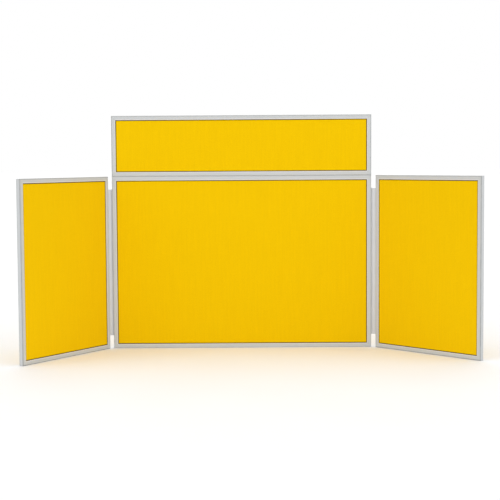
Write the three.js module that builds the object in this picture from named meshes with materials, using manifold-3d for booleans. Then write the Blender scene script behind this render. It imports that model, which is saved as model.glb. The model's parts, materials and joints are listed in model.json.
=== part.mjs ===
// A desk-top folding display screen: a framed centre panel, two framed wings that fold on
// double-line strip hinges, and a framed header that stands on the centre panel on two pegs.
// Millimetres, +Z up. The origin is the middle of the centre panel's foot, where it meets the
// desk; -Y is the front, and the wings are set part-way forward, as the screen stands in use.
import * as THREE from "three";
import { mergeVertices } from "three/addons/utils/BufferGeometryUtils.js";
import Module from "manifold-3d";

const wasm = await Module();
wasm.setup();

// ---- driving dimensions ----------------------------------------------------------------

// panels, over their frames
const CENTRE_WIDTH = 900;
const PANEL_HEIGHT = 600;
const WING_WIDTH = 449; // half the centre less a gap, so both wings fold flat side by side
const HEADER_HEIGHT = 209;
const HEADER_GAP = 0.3; // between the header's foot and the centre panel's top

// how far each wing stands forward of the flat, in degrees
const LEFT_WING_ANGLE = 58;
const RIGHT_WING_ANGLE = 46;

// the frame's extrusion: a channel for the board, a chamber for the corner keys, and outside
// them either a hollow wall or the hinge groove
const RAIL_FACE = 15;
const RAIL_DEPTH = 17;
const EDGE_RADIUS = 3;
const LIP_RADIUS = 1.4;
const CHANNEL_DEPTH = 7;
const WALL = 1.3;
const KEY_CHAMBER = { deep: 2.4, wide: 10 };
const HOLLOW = { wide: 10.6 };
const GROOVE = { mouth: 2.6, throat: 1.4, pocketDeep: 1.7, pocketWide: 5.8 };
const MITRE_GAP = 0.3;

// the board: a light core with loop fabric on both faces
const CORE_THICKNESS = 10;
const FABRIC_THICKNESS = 0.8;
const CLEARANCE = 0.3; // between pieces that seat on each other

// corner keys
const KEY_LEG = 38;

// the strip hinge
const HINGE_INSET = 45; // the strip ends this far short of the panel's top and foot
const FOLD_STANDOFF = 1.5; // from a rail's outer face to its fold line
const FOLDED_GAP = 1; // between the faces of a panel and a wing folded flat on it
const STRIP_THICKNESS = 2;
const FOLD_LINE_THICKNESS = 1;
const FOLD_LINE_WIDTH = 1; // the strip's thin margin beside each fold line
const FOLD_LINE_GAP = 0.8; // from the fold line to the strip's edge

// header pegs and the sleeves that they stand in
const PEG_SPACING = 600;
const PEG_DIAMETER = 5;
const PEG_LENGTH = 56;
const SLEEVE_WALL = 1.2;
const SLEEVE_LENGTH = 30;
const CHAMFER = 0.6;

const ARC_STEPS = 5;
const ROUND_STEPS = 20;

// ---- sizes that follow -----------------------------------------------------------------

const FABRIC_FACE = CORE_THICKNESS / 2 + CLEARANCE + FABRIC_THICKNESS;
const CHANNEL_HALF = FABRIC_FACE + CLEARANCE;
const CHANNEL_BOTTOM = RAIL_FACE - CHANNEL_DEPTH;
const KEY_CHAMBER_TOP = CHANNEL_BOTTOM - WALL;
const KEY_CHAMBER_FOOT = KEY_CHAMBER_TOP - KEY_CHAMBER.deep;
const POCKET_FOOT = GROOVE.throat + GROOVE.pocketDeep;
const BOARD_INSET = CHANNEL_BOTTOM + CLEARANCE;
const HINGE_LENGTH = PANEL_HEIGHT - 2 * HINGE_INSET;
const HINGE_SPAN = RAIL_DEPTH + FOLDED_GAP; // fold line to fold line
const SLEEVE_BORE = PEG_DIAMETER / 2 + CLEARANCE;
const SLEEVE_RADIUS = SLEEVE_BORE + SLEEVE_WALL;
const HEADER_FOOT = PANEL_HEIGHT + HEADER_GAP;

// ---- materials -------------------------------------------------------------------------

const finish = (color, roughness, metalness) =>
  new THREE.MeshStandardMaterial({ color, roughness, metalness });

const FRAME_GREY = finish(0xc9cbc9, 0.5, 0);
const STRIP_GREY = finish(0xbfc2c0, 0.6, 0);
const YELLOW_LOOP = finish(0xf3c305, 0.95, 0);
const CORE_PAPER = finish(0xb9a27c, 0.95, 0);
const KEY_STEEL = finish(0xa9adb0, 0.4, 1);
const SLEEVE_NYLON = finish(0xe4e4de, 0.5, 0);
const PEG_STEEL = finish(0xb9bcc0, 0.25, 1);

// ---- shape helpers ---------------------------------------------------------------------

// Points of a quarter turn about (x, y), from one angle to another in degrees.
function arcPoints(x, y, radius, from, to) {
  return Array.from({ length: ARC_STEPS + 1 }, (_, i) => {
    const angle = THREE.MathUtils.degToRad(from + ((to - from) * i) / ARC_STEPS);
    return new THREE.Vector2(x + radius * Math.cos(angle), y + radius * Math.sin(angle));
  });
}

// A closed outline from its right-hand half, mirrored in x = 0.
function mirroredShape(half) {
  const left = half.map((p) => new THREE.Vector2(-p.x, p.y)).reverse();
  return new THREE.Shape([...half, ...left]);
}

function rectangleHole(wide, low, high) {
  const corners = [
    [-wide / 2, low],
    [-wide / 2, high],
    [wide / 2, high],
    [wide / 2, low],
  ];
  return new THREE.Path(corners.map(([x, y]) => new THREE.Vector2(x, y)));
}

function extruded(shape, depth) {
  return new THREE.ExtrudeGeometry(shape, { depth, steps: 1, bevelEnabled: false });
}

// A closed geometry as a solid for cutting.
function solidOf(geometry) {
  const bare = geometry.clone().deleteAttribute("normal").deleteAttribute("uv");
  const merged = mergeVertices(bare, 1e-4);
  return new wasm.Manifold(
    new wasm.Mesh({
      numProp: 3,
      vertProperties: merged.attributes.position.array,
      triVerts: new Uint32Array(merged.index.array),
    }),
  );
}

function geometryOf(solid) {
  const mesh = solid.getMesh();
  const position = new THREE.BufferAttribute(mesh.vertProperties, 3);
  const index = new THREE.BufferAttribute(mesh.triVerts, 1);
  const geometry = new THREE.BufferGeometry().setAttribute("position", position);
  geometry.setIndex(index);
  geometry.computeVertexNormals();
  return geometry;
}

function cut(geometry, cutters) {
  return geometryOf(cutters.reduce((body, cutter) => body.subtract(solidOf(cutter)), solidOf(geometry)));
}

function piece(name, geometry, material) {
  const mesh = new THREE.Mesh(geometry, material);
  mesh.name = name;
  return mesh;
}

function box(wide, deep, high, y, z) {
  return new THREE.BoxGeometry(wide, deep, high).translate(0, y, z);
}

// ---- the frame -------------------------------------------------------------------------

// The extrusion's section. x is across the frame's depth and y runs inwards from the outer
// face (0) to the lips that hold the board (RAIL_FACE).
function railSection(hinged) {
  const half = RAIL_DEPTH / 2;
  const groove = [
    new THREE.Vector2(GROOVE.pocketWide / 2, POCKET_FOOT),
    new THREE.Vector2(GROOVE.pocketWide / 2, GROOVE.throat),
    new THREE.Vector2(GROOVE.mouth / 2, GROOVE.throat),
    new THREE.Vector2(GROOVE.mouth / 2, 0),
  ];
  const shape = mirroredShape([
    ...(hinged ? groove : []),
    ...arcPoints(half - EDGE_RADIUS, EDGE_RADIUS, EDGE_RADIUS, -90, 0),
    ...arcPoints(half - LIP_RADIUS, RAIL_FACE - LIP_RADIUS, LIP_RADIUS, 0, 90),
    new THREE.Vector2(CHANNEL_HALF, RAIL_FACE),
    new THREE.Vector2(CHANNEL_HALF, CHANNEL_BOTTOM),
  ]);
  shape.holes.push(rectangleHole(KEY_CHAMBER.wide, KEY_CHAMBER_FOOT, KEY_CHAMBER_TOP));
  if (!hinged) shape.holes.push(rectangleHole(HOLLOW.wide, WALL, POCKET_FOOT));
  return shape;
}

// A rail lying along X on its outer face, centred, with both ends mitred at 45 degrees.
function railGeometry(length, hinged) {
  const geometry = extruded(railSection(hinged), length);
  const position = geometry.getAttribute("position");
  for (let i = 0; i < position.count; i++) {
    const inward = position.getY(i);
    const end = position.getZ(i) > length / 2 ? 1 : -1;
    const along = end * (length / 2 - inward - MITRE_GAP / 2);
    position.setXYZ(i, along, position.getX(i), inward);
  }
  return geometry;
}

// Where each side's rail goes: the turn about Y that points its outer face outwards, and the
// middle of that face, as shares of the panel's width and height.
const SIDES = {
  bottom: { turn: 0, x: 0, z: 0 },
  right: { turn: -Math.PI / 2, x: 0.5, z: 0.5 },
  top: { turn: Math.PI, x: 0, z: 1 },
  left: { turn: Math.PI / 2, x: -0.5, z: 0.5 },
};

// Each corner, the turn about Y that fits the key's legs along its two rails, and its place.
const CORNERS = {
  bottom_left: { turn: 0, x: -0.5, z: 0 },
  bottom_right: { turn: -Math.PI / 2, x: 0.5, z: 0 },
  top_right: { turn: Math.PI, x: 0.5, z: 1 },
  top_left: { turn: Math.PI / 2, x: -0.5, z: 1 },
};

function railMesh(panelName, side, width, height, hinged, drillings) {
  const upright = side === "left" || side === "right";
  const bare = railGeometry(upright ? height : width, hinged);
  const mesh = piece(
    `${panelName}_${side}_rail`,
    drillings.length ? cut(bare, drillings) : bare,
    FRAME_GREY,
  );
  mesh.position.set(SIDES[side].x * width, 0, SIDES[side].z * height);
  mesh.rotation.y = SIDES[side].turn;
  return mesh;
}

// An angle bent from strip that joins two rails through their key chambers, drawn for the
// bottom left corner with its legs along +X and +Z.
function cornerKeyGeometry() {
  const outer = KEY_CHAMBER_FOOT + CLEARANCE;
  const inner = KEY_CHAMBER_TOP - CLEARANCE;
  const end = outer + KEY_LEG;
  const thick = inner - outer;
  const outline = new THREE.Shape([
    new THREE.Vector2(end - CHAMFER, outer),
    new THREE.Vector2(end, outer + CHAMFER),
    new THREE.Vector2(end, inner),
    new THREE.Vector2(inner, inner),
    new THREE.Vector2(inner, end),
    new THREE.Vector2(outer + CHAMFER, end),
    new THREE.Vector2(outer, end - CHAMFER),
    ...arcPoints(outer + thick, outer + thick, thick, 180, 270),
  ]);
  const wide = KEY_CHAMBER.wide - 2 * CLEARANCE;
  return extruded(outline, wide).translate(0, 0, -wide / 2).rotateX(Math.PI / 2);
}

function cornerKeyMesh(panelName, corner, width, height) {
  const mesh = piece(`${panelName}_${corner}_corner_key`, cornerKeyGeometry(), KEY_STEEL);
  mesh.position.set(CORNERS[corner].x * width, 0, CORNERS[corner].z * height);
  mesh.rotation.y = CORNERS[corner].turn;
  return mesh;
}

// A framed panel in its own frame: foot at z = 0, centred on x, with its front facing -Y.
// hingedSides carry the hinge groove, and drilled names the side that takes the pegs.
function panel(name, width, height, { hingedSides = [], drilled = null } = {}) {
  const group = new THREE.Group();
  for (const side of Object.keys(SIDES)) {
    const drillings = side === drilled ? pegCentres().map((x) => railDrill(x)) : [];
    group.add(railMesh(name, side, width, height, hingedSides.includes(side), drillings));
  }
  for (const corner of Object.keys(CORNERS)) {
    group.add(cornerKeyMesh(name, corner, width, height));
  }
  const boardWidth = width - 2 * BOARD_INSET;
  const boardHeight = height - 2 * BOARD_INSET;
  const core = box(boardWidth, CORE_THICKNESS, boardHeight, 0, height / 2);
  const coreDrills = drilled ? pegCentres().map((x) => coreDrill(x, drilled, height)) : [];
  group.add(piece(`${name}_core_board`, coreDrills.length ? cut(core, coreDrills) : core, CORE_PAPER));
  const fabricMiddle = FABRIC_FACE - FABRIC_THICKNESS / 2;
  for (const [face, y] of [["front", -fabricMiddle], ["back", fabricMiddle]]) {
    const sheet = box(boardWidth, FABRIC_THICKNESS, boardHeight, y, height / 2);
    group.add(piece(`${name}_${face}_fabric`, sheet, YELLOW_LOOP));
  }
  return group;
}

// ---- header pegs and sleeves -----------------------------------------------------------

function pegCentres() {
  return [-PEG_SPACING / 2, PEG_SPACING / 2];
}

function uprightCylinder(radius, low, high, x) {
  const cylinder = new THREE.CylinderGeometry(radius, radius, high - low, ROUND_STEPS);
  return cylinder.rotateX(Math.PI / 2).translate(x, 0, (low + high) / 2);
}

// The hole through a drilled rail's walls, in the rail's own frame.
function railDrill(x) {
  return uprightCylinder(SLEEVE_RADIUS + CLEARANCE, -1, CHANNEL_BOTTOM + 1, x);
}

// The blind hole in the core behind it, open at the board's edge.
function coreDrill(x, side, height) {
  const deep = SLEEVE_LENGTH + CLEARANCE;
  const low = side === "top" ? height - deep : 0;
  const high = side === "top" ? height : deep;
  return uprightCylinder(SLEEVE_RADIUS + CLEARANCE, low, high, x);
}

// A sleeve with its mouth at z = 0 and its body below.
function sleeveGeometry() {
  const profile = [
    [SLEEVE_BORE, -SLEEVE_LENGTH],
    [SLEEVE_RADIUS - CHAMFER, -SLEEVE_LENGTH],
    [SLEEVE_RADIUS, -SLEEVE_LENGTH + CHAMFER],
    [SLEEVE_RADIUS, 0],
    [SLEEVE_BORE + CHAMFER, 0],
    [SLEEVE_BORE, -CHAMFER],
    [SLEEVE_BORE, -SLEEVE_LENGTH],
  ].map(([x, y]) => new THREE.Vector2(x, y));
  return new THREE.LatheGeometry(profile, ROUND_STEPS).rotateX(Math.PI / 2);
}

// A peg with domed ends, centred on the origin.
function pegGeometry() {
  const radius = PEG_DIAMETER / 2;
  const straight = PEG_LENGTH / 2 - radius;
  const profile = [
    ...arcPoints(0, -straight, radius, -90, 0),
    ...arcPoints(0, straight, radius, 0, 90),
  ];
  profile.forEach((point) => (point.x = Math.abs(point.x) < 1e-9 ? 0 : point.x));
  return new THREE.LatheGeometry(profile, ROUND_STEPS).rotateX(Math.PI / 2);
}

const PEG_NAMES = ["left", "right"];

function sleeves(owner, z, mouthUp) {
  return pegCentres().map((x, i) => {
    const mesh = piece(`${owner}_${PEG_NAMES[i]}_peg_sleeve`, sleeveGeometry(), SLEEVE_NYLON);
    mesh.position.set(x, 0, z);
    if (!mouthUp) mesh.rotation.x = Math.PI;
    return mesh;
  });
}

function pegs() {
  return pegCentres().map((x, i) => {
    const mesh = piece(`header_${PEG_NAMES[i]}_peg`, pegGeometry(), PEG_STEEL);
    mesh.position.set(x, 0, PANEL_HEIGHT + HEADER_GAP / 2);
    return mesh;
  });
}

// ---- the strip hinges ------------------------------------------------------------------

// The strip's edge bead and neck in a rail's groove. x is across the rail's depth and y runs
// outwards from the rail's outer face to the fold line.
function edgeBeadGeometry() {
  const bead = GROOVE.pocketWide / 2 - CLEARANCE;
  const neck = STRIP_THICKNESS / 2;
  const line = FOLD_LINE_THICKNESS / 2;
  const step = FOLD_STANDOFF - FOLD_LINE_WIDTH;
  const shape = mirroredShape([
    new THREE.Vector2(bead, CLEARANCE - POCKET_FOOT),
    new THREE.Vector2(bead, -GROOVE.throat - CLEARANCE),
    new THREE.Vector2(neck, -GROOVE.throat - CLEARANCE),
    new THREE.Vector2(neck, step),
    new THREE.Vector2(line, step),
    new THREE.Vector2(line, FOLD_STANDOFF),
  ]);
  return extruded(shape, HINGE_LENGTH);
}

// The strip between its two fold lines, standing on z = 0 with the first line at the origin
// and the second at y = HINGE_SPAN.
function hingeStripGeometry() {
  const half = STRIP_THICKNESS / 2;
  const line = FOLD_LINE_THICKNESS / 2;
  const edge = FOLD_LINE_GAP;
  const shoulder = FOLD_LINE_GAP + FOLD_LINE_WIDTH;
  const shape = mirroredShape([
    new THREE.Vector2(line, edge),
    new THREE.Vector2(line, shoulder),
    new THREE.Vector2(half, shoulder),
    new THREE.Vector2(half, HINGE_SPAN - shoulder),
    new THREE.Vector2(line, HINGE_SPAN - shoulder),
    new THREE.Vector2(line, HINGE_SPAN - edge),
  ]);
  return extruded(shape, HINGE_LENGTH);
}

// A bead set in the rail whose outer face is at x, on the panel's side that faces outward.
function edgeBead(name, x, outward) {
  const mesh = piece(name, edgeBeadGeometry(), STRIP_GREY);
  mesh.position.set(x, 0, HINGE_INSET);
  mesh.rotation.z = (-outward * Math.PI) / 2;
  return mesh;
}

// The direction, seen from above, of something turned forward by an angle on one side of the
// screen: side is -1 for the left and 1 for the right.
function forward(side, angle) {
  return new THREE.Vector2(side * Math.cos(angle), -Math.sin(angle));
}

// The wing, its strip and its two edge beads, all placed at the wing's angle. The inner bead
// belongs to the centre panel and goes into it.
function addWing(screen, centre, side, name, degrees) {
  const angle = THREE.MathUtils.degToRad(degrees);
  const innerFold = new THREE.Vector2(side * (CENTRE_WIDTH / 2 + FOLD_STANDOFF), 0);
  const outerFold = innerFold.clone().addScaledVector(forward(side, angle / 2), HINGE_SPAN);
  const middle = outerFold
    .clone()
    .addScaledVector(forward(side, angle), FOLD_STANDOFF + WING_WIDTH / 2);

  centre.add(edgeBead(`${name}_hinge_inner_bead`, (side * CENTRE_WIDTH) / 2, side));

  const strip = piece(`${name}_hinge_strip`, hingeStripGeometry(), STRIP_GREY);
  strip.position.set(innerFold.x, innerFold.y, HINGE_INSET);
  strip.rotation.z = -side * (Math.PI / 2 + angle / 2);
  screen.add(strip);

  const hingedSide = side < 0 ? "right" : "left";
  const wing = panel(`${name}_wing`, WING_WIDTH, PANEL_HEIGHT, { hingedSides: [hingedSide] });
  wing.add(edgeBead(`${name}_hinge_outer_bead`, (-side * WING_WIDTH) / 2, -side));
  wing.position.set(middle.x, middle.y, 0);
  wing.rotation.z = -side * angle;
  screen.add(wing);
}

// ---- the screen ------------------------------------------------------------------------

const screen = new THREE.Group();

const centre = panel("centre", CENTRE_WIDTH, PANEL_HEIGHT, {
  hingedSides: ["left", "right"],
  drilled: "top",
});
centre.add(...sleeves("centre", PANEL_HEIGHT, true));
screen.add(centre);

const header = panel("header", CENTRE_WIDTH, HEADER_HEIGHT, { drilled: "bottom" });
header.position.z = HEADER_FOOT;
screen.add(header, ...sleeves("header", HEADER_FOOT, false), ...pegs());

addWing(screen, centre, -1, "left", LEFT_WING_ANGLE);
addWing(screen, centre, 1, "right", RIGHT_WING_ANGLE);

export default screen;
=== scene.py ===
"""Desk-top folding display screen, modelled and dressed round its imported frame.

A framed centre panel carries a wing on each side, on a strip hinge with two soft fold lines, and a
header panel that stands on two pegs. Lengths are in metres, +Z is up and -Y is the front.
"""

import json
import logging
import math
from collections.abc import Iterable, Sequence
from dataclasses import dataclass, field
from enum import Enum

import bmesh
import bpy
from mathutils import Matrix, Vector


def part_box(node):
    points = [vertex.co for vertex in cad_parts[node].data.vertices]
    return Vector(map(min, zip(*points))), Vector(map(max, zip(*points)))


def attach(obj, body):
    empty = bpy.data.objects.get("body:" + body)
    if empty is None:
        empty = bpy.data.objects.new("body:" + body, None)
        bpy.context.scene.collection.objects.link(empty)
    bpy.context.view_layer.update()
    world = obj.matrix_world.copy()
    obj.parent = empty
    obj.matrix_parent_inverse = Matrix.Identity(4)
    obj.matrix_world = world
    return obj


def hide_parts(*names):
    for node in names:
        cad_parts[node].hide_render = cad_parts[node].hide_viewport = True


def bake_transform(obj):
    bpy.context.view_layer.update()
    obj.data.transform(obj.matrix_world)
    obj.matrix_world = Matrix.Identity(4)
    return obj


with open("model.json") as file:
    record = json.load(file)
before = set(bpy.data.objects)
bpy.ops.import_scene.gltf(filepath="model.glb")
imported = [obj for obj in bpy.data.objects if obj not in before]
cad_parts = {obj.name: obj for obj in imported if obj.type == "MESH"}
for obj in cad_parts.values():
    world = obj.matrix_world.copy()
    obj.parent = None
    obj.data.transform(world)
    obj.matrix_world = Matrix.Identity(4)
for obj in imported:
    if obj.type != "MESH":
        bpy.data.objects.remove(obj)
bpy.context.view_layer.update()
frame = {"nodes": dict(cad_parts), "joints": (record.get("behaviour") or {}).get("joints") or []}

MM = 0.001
SAME_POINT = 0.001 * MM  # vertices nearer than this are one
CREASE = math.radians(32)  # two faces that turn more than this meet in a sharp edge
LAID_DOWN = Matrix.Rotation(math.pi / 2, 4, "Y")  # turns what stands along Z so that it lies along X
LOCAL = "local_place"  # each vertex's place in its piece's own directions, before it is set in the screen
RIM = "rim_distance"  # on cloth, how far each vertex is from the lips of the frame

BMesh = bmesh.types.BMesh
BMVert = bmesh.types.BMVert
Socket = bpy.types.NodeSocket
Sockets = dict[str, Socket]
Feed = Socket | float | tuple[float, ...]
Feeds = dict[str | int, Feed]
Colour = tuple[float, float, float]

log = logging.getLogger("display_screen")


class Slot(Enum):
    """The record's material slots."""

    FRAME = "frame_grey"
    HINGE = "hinge_grey"
    CLOTH = "yellow_fabric"
    CORE = "core_board"
    KEY = "key_steel"
    PEG = "peg_steel"
    SLEEVE = "sleeve_plastic"


class Side(Enum):
    """A side of a panel: the turn about Y that faces a rail's outer face that way, and its place."""

    BOTTOM = ("bottom", 0.0, 0.5, 0.0)
    RIGHT = ("right", -math.pi / 2, 1.0, 0.5)
    TOP = ("top", math.pi, 0.5, 1.0)
    LEFT = ("left", math.pi / 2, 0.0, 0.5)

    def __init__(self, word: str, turn: float, across: float, up: float) -> None:
        """Names the fields of a side.

        Args:
            word: the side's name in a piece's name.
            turn: the turn about Y, in radians.
            across: the side's middle as a share of the panel's width, from its left.
            up: the side's middle as a share of the panel's height, from its foot.
        """
        self.word = word
        self.turn = turn
        self.across = across
        self.up = up

    @property
    def upright(self) -> bool:
        """True for the sides that stand up."""
        return self in (Side.LEFT, Side.RIGHT)


class Face(Enum):
    """A face of a panel: its word, and the turn about Z that points it away from the board."""

    FRONT = ("front", 0.0)
    BACK = ("back", math.pi)

    def __init__(self, word: str, turn: float) -> None:
        """Names the fields of a face."""
        self.word = word
        self.turn = turn


class FoldLine(Enum):
    """A fold line of a hinge: its word, and the end of the name of the joint that stands for it."""

    INNER = ("inner", "fold")
    OUTER = ("outer", "second_fold")

    def __init__(self, word: str, joint: str) -> None:
        """Names the fields of a fold line."""
        self.word = word
        self.joint = joint


# ---- node trees ------------------------------------------------------------------------------


class SocketKind(Enum):
    """The kinds of socket that a shared effect has."""

    NUMBER = "NodeSocketFloat"
    VECTOR = "NodeSocketVector"
    COLOUR = "NodeSocketColor"


class Graph:
    """A node tree with short ways to add nodes and join them."""

    def __init__(self, tree: bpy.types.NodeTree) -> None:
        """Keeps the tree that the nodes go into."""
        self.tree = tree

    def feed(self, node: bpy.types.Node, feeds: Feeds) -> None:
        """Feeds a node's inputs. A plain colour is given without its alpha.

        Args:
            node: the node.
            feeds: an output socket to join or a plain value for each input, by name or place.
        """
        for key, value in feeds.items():
            socket = node.inputs[key]
            if isinstance(value, Socket):
                self.tree.links.new(value, socket)
            else:
                socket.default_value = (*value, 1.0) if socket.type == "RGBA" else value

    def add(self, kind: str, feeds: Feeds | None = None, **settings: object) -> bpy.types.Node:
        """Adds a node.

        Args:
            kind: the node's class name.
            feeds: what goes into its inputs.
            **settings: the node's own properties.

        Returns:
            The new node.
        """
        node = self.tree.nodes.new(kind)
        for name, value in settings.items():
            setattr(node, name, value)
        self.feed(node, feeds or {})
        return node

    def math(self, operation: str, first: Feed, second: Feed = 0.0) -> Socket:
        """Works out a value from two others by one of the Math node's operations."""
        return self.add("ShaderNodeMath", {0: first, 1: second}, operation=operation).outputs[0]

    def times(self, first: Feed, second: Feed) -> Socket:
        """Multiplies two values."""
        return self.math("MULTIPLY", first, second)

    def total(self, base: Feed, *parts: tuple[Feed, Feed]) -> Feed:
        """Adds to a base each of some values times its share.

        Args:
            base: what they are added to.
            *parts: each value and its share.

        Returns:
            The sum.
        """
        for value, share in parts:
            base = self.math("ADD", base, self.times(value, share))
        return base

    def span(self, value: Feed, low: Feed, high: Feed, to_low: Feed = 0.0, to_high: Feed = 1.0) -> Socket:
        """Maps low and high smoothly to two other values, and holds what lies past them."""
        feeds = {"Value": value, "From Min": low, "From Max": high, "To Min": to_low, "To Max": to_high}
        return self.add("ShaderNodeMapRange", feeds, interpolation_type="SMOOTHSTEP").outputs["Result"]

    def mix(self, share: Feed, first: Feed, second: Feed, mode: str = "MIX") -> Socket:
        """Lays a share of the second colour over the first, by one of the Mix node's modes."""
        feeds = {0: share, 6: first, 7: second}
        return self.add("ShaderNodeMix", feeds, data_type="RGBA", blend_type=mode).outputs[2]

    def noise(self, vector: Feed, scale: Feed, detail: float = 2.0, rough: float = 0.5) -> Socket:
        """Adds a noise about 0.5: its patches to the metre, its finer layers and the share of each."""
        feeds = {"Vector": vector, "Scale": scale, "Detail": detail, "Roughness": rough}
        return self.add("ShaderNodeTexNoise", feeds).outputs[0]

    def stretched(self, vector: Feed, x: float, y: float, z: float) -> Socket:
        """Scales coordinates along each axis."""
        return self.add("ShaderNodeMapping", {"Vector": vector, "Scale": (x, y, z)}).outputs[0]

    def bump(self, height: Feed, strength: float, depth: float) -> Socket:
        """Turns a height into a normal. The depth is in metres, at a height of 1."""
        feeds = {"Height": height, "Strength": strength, "Distance": depth}
        return self.add("ShaderNodeBump", feeds).outputs["Normal"]


@dataclass(frozen=True)
class Port:
    """One socket of a shared effect, with its default where it has one."""

    name: str
    kind: SocketKind = SocketKind.NUMBER
    value: float | None = None


PLACE = Port("Vector", SocketKind.VECTOR)  # the coordinates that every shared effect reads


class SharedEffect:
    """A shader node group that is built once and then placed in any material."""

    label = ""
    takes: tuple[Port, ...] = ()
    gives: tuple[Port, ...] = ()

    def draw(self, graph: Graph, given: Sockets) -> Sockets:
        """Draws the inside of the group from its inputs, and says what feeds its outputs."""
        raise NotImplementedError

    def tree(self) -> bpy.types.NodeTree:
        """The group's tree, made the first time that it is asked for.

        Returns:
            The tree.
        """
        known = bpy.data.node_groups.get(self.label)
        if known:
            return known
        tree = bpy.data.node_groups.new(self.label, "ShaderNodeTree")
        for direction, ports in (("INPUT", self.takes), ("OUTPUT", self.gives)):
            for port in ports:
                made = tree.interface.new_socket(port.name, in_out=direction, socket_type=port.kind.value)
                if port.value is not None:
                    made.default_value = port.value
        graph = Graph(tree)
        entry = graph.add("NodeGroupInput")
        drawn = self.draw(graph, {port.name: entry.outputs[port.name] for port in self.takes})
        graph.add("NodeGroupOutput", drawn)
        return tree

    def place(self, graph: Graph, vector: Feed, **feeds: Feed) -> bpy.types.NodeOutputs:
        """Places the group in a material, with its coordinates and other inputs, and gives its outputs."""
        return graph.add("ShaderNodeGroup", {"Vector": vector, **feeds}, node_tree=self.tree()).outputs


class ToneDrift(SharedEffect):
    """A colour that drifts a little lighter and darker over the surface."""

    label = "Tone drift"
    takes = (
        PLACE,
        Port("Colour", SocketKind.COLOUR),
        Port("Patches", value=10.0),
        Port("Strength", value=0.05),
    )
    gives = (Port("Colour", SocketKind.COLOUR), Port("Tone"))

    def draw(self, graph: Graph, given: Sockets) -> Sockets:
        """Multiplies the colour by a slow noise about 1.

        Args:
            graph: the group's tree.
            given: its inputs.

        Returns:
            The colour, and its tone from -1 to 1.
        """
        slow = graph.noise(given["Vector"], given["Patches"], detail=4.0, rough=0.55)
        tone = graph.span(slow, 0.25, 0.75, -1.0, 1.0)
        factor = graph.total(1.0, (tone, given["Strength"]))
        return {"Colour": graph.mix(1.0, given["Colour"], factor, "MULTIPLY"), "Tone": tone}


class MouldedGrain(SharedEffect):
    """The fine pebbled skin of extruded and moulded plastic."""

    label = "Moulded grain"
    takes = (PLACE, Port("Grains", value=1200.0))
    gives = (Port("Height"),)
    finer = 2.3  # the fine noise's scale, as a share of the grains'
    grain_share = 0.6

    def draw(self, graph: Graph, given: Sockets) -> Sockets:
        """Adds rounded cells to a finer noise.

        Args:
            graph: the group's tree.
            given: its inputs.

        Returns:
            The skin's height.
        """
        feeds = {"Vector": given["Vector"], "Scale": given["Grains"]}
        cells = graph.add("ShaderNodeTexVoronoi", feeds, feature="SMOOTH_F1").outputs["Distance"]
        fine = graph.noise(given["Vector"], graph.times(given["Grains"], self.finer))
        rounded = graph.times(cells, self.grain_share)
        return {"Height": graph.total(rounded, (fine, 1.0 - self.grain_share))}


class DrawnLines(SharedEffect):
    """Fine lines along X, as a die leaves on an extrusion or on drawn wire."""

    label = "Drawn lines"
    takes = (PLACE, Port("Lines", value=900.0))
    gives = (Port("Height"), Port("Mask"))
    along = 0.006  # how little a line changes along its length

    def draw(self, graph: Graph, given: Sockets) -> Sockets:
        """Stretches a noise far along X and picks its strongest lines as a mask.

        Args:
            graph: the group's tree.
            given: its inputs.

        Returns:
            The lines' height, and where the strongest are.
        """
        drawn_out = graph.stretched(given["Vector"], self.along, 1.0, 1.0)
        lines = graph.noise(drawn_out, given["Lines"], detail=3.0, rough=0.6)
        return {"Height": lines, "Mask": graph.span(lines, 0.58, 0.72)}


class Scuffs(SharedEffect):
    """Short rubbed scratches, gathered in patches."""

    label = "Scuffs"
    takes = (PLACE, Port("Cover", value=0.5))
    gives = (Port("Mask"),)
    slant = (0.3, 0.5, 0.4)
    long_strokes = (14.0, 420.0, 420.0)
    cross_strokes = (380.0, 18.0, 380.0)
    patches = 9.0

    def draw(self, graph: Graph, given: Sockets) -> Sockets:
        """Crosses two sets of stretched noise and keeps them inside slow patches.

        Args:
            graph: the group's tree.
            given: its inputs.

        Returns:
            Where the scratches are.
        """
        feeds = {"Vector": given["Vector"], "Rotation": self.slant}
        slanted = graph.add("ShaderNodeMapping", feeds).outputs[0]
        first = graph.noise(graph.stretched(slanted, *self.long_strokes), 1.0)
        second = graph.noise(graph.stretched(slanted, *self.cross_strokes), 1.0)
        marks = graph.math("MAXIMUM", graph.span(first, 0.68, 0.76), graph.span(second, 0.70, 0.78))
        patch = graph.span(graph.noise(given["Vector"], self.patches, detail=3.0), 0.45, 0.68)
        return {"Mask": graph.times(graph.times(marks, patch), given["Cover"])}


class SettledDust(SharedEffect):
    """A light film of dust on what faces upwards."""

    label = "Settled dust"
    takes = (PLACE, Port("Amount", value=0.3))
    gives = (Port("Mask"),)
    specks = 160.0

    def draw(self, graph: Graph, given: Sockets) -> Sockets:
        """Reads the surface's normal and breaks the film up with noise.

        Args:
            graph: the group's tree.
            given: its inputs.

        Returns:
            How thick the dust lies.
        """
        normal = graph.add("ShaderNodeNewGeometry").outputs["Normal"]
        upward = graph.add("ShaderNodeSeparateXYZ", {0: normal}).outputs["Z"]
        film = graph.span(upward, 0.35, 0.95)
        specks = graph.noise(given["Vector"], self.specks, detail=5.0, rough=0.7)
        broken = graph.span(specks, 0.3, 0.65, 0.4, 1.0)
        return {"Mask": graph.times(graph.times(film, broken), given["Amount"])}


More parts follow.
